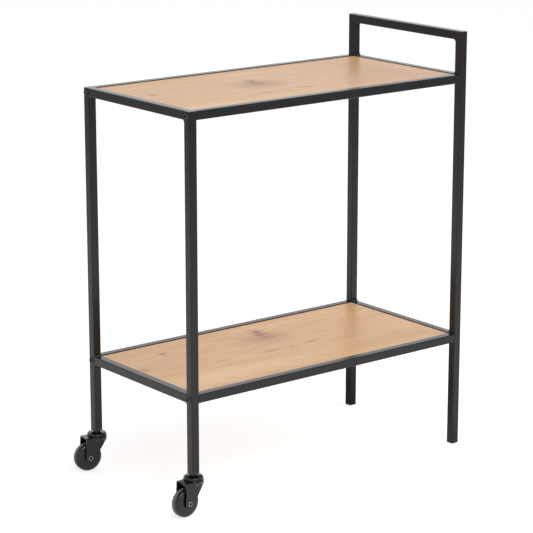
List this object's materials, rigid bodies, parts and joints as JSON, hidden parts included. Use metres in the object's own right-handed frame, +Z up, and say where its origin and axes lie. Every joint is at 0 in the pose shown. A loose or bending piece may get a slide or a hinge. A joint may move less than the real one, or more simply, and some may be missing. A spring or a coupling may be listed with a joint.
{
  "type": "serving trolley",
  "caption": "Slim rectangular serving trolley: black square-tube frame, inset oak-look shelves, raised push handle at one end, swivel casters at the other, plain feet under the handle.",
  "frame": {"origin": "on the floor, below the middle of the object's bounding box at rest", "axes": "+X along the shelves towards the handle end, +Y from the front to the back, +Z up"},
  "size_m": [0.6394, 0.32, 0.752],
  "materials": {
    "powder_coat": "satin black powder coat on square steel tube",
    "oak_decor": "matt oak decor foil on wood-based board",
    "bolt_black": "blackened steel",
    "insert_steel": "plain turned steel",
    "screw_steel": "zinc plated",
    "foot_plastic": "moulded black polyethylene",
    "caster_black": "gloss black painted steel pressing",
    "bearing_steel": "zinc plated steel",
    "rivet_steel": "bright zinc plated hollow rivet",
    "wheel_black": "moulded black polypropylene, slightly glossy"
  },
  "bodies": {
    "trolley_frame": {"front_left_leg": "powder_coat", "back_left_leg": "powder_coat", "left_leg_top_caps": "powder_coat", "left_top_crossbar": "powder_coat", "left_lower_crossbar": "powder_coat", "front_right_upright": "powder_coat", "back_right_upright": "powder_coat", "handle_bar": "powder_coat", "right_top_crossbar": "powder_coat", "right_lower_crossbar": "powder_coat", "front_top_rail": "powder_coat", "back_top_rail": "powder_coat", "front_lower_rail": "powder_coat", "back_lower_rail": "powder_coat", "left_frame_weld_beads": "powder_coat", "right_frame_weld_beads": "powder_coat", "top_board_tabs": "powder_coat", "lower_board_tabs": "powder_coat", "rail_end_inserts": "insert_steel", "left_frame_bolts": "bolt_black", "right_frame_bolts": "bolt_black", "top_board_screws": "screw_steel", "lower_board_screws": "screw_steel", "top_shelf_board": "oak_decor", "lower_shelf_board": "oak_decor", "front_right_foot": "foot_plastic", "back_right_foot": "foot_plastic", "front_leg_plug": "foot_plastic", "back_leg_plug": "foot_plastic", "front_caster_stem": "bearing_steel", "front_caster_lower_race": "bearing_steel", "front_caster_bearing_dome": "caster_black", "back_caster_stem": "bearing_steel", "back_caster_lower_race": "bearing_steel", "back_caster_bearing_dome": "caster_black"},
    "front_caster_fork": {"front_caster_fork": "caster_black", "front_caster_balls": "bearing_steel", "front_caster_axle_rivet": "rivet_steel"},
    "front_caster_wheel": {"front_caster_wheel": "wheel_black"},
    "back_caster_fork": {"back_caster_fork": "caster_black", "back_caster_balls": "bearing_steel", "back_caster_axle_rivet": "rivet_steel"},
    "back_caster_wheel": {"back_caster_wheel": "wheel_black"}
  },
  "joints": [
    {"name": "front_caster_swivel", "type": "hinge", "parent": "trolley_frame", "child": "front_caster_fork", "pos_m": [-0.27425, -0.1425, 0.0615], "axis": [0, 0, 1], "continuous": true},
    {"name": "front_wheel_roll", "type": "hinge", "parent": "front_caster_fork", "child": "front_caster_wheel", "pos_m": [-0.29316, -0.14435, 0.025], "axis": [-0.0976, 0.9952, 0], "continuous": true},
    {"name": "back_caster_swivel", "type": "hinge", "parent": "trolley_frame", "child": "back_caster_fork", "pos_m": [-0.27425, 0.1425, 0.0615], "axis": [0, 0, 1], "continuous": true},
    {"name": "back_wheel_roll", "type": "hinge", "parent": "back_caster_fork", "child": "back_caster_wheel", "pos_m": [-0.29311, 0.14482, 0.025], "axis": [0.1219, 0.9925, 0], "continuous": true}
  ]
}
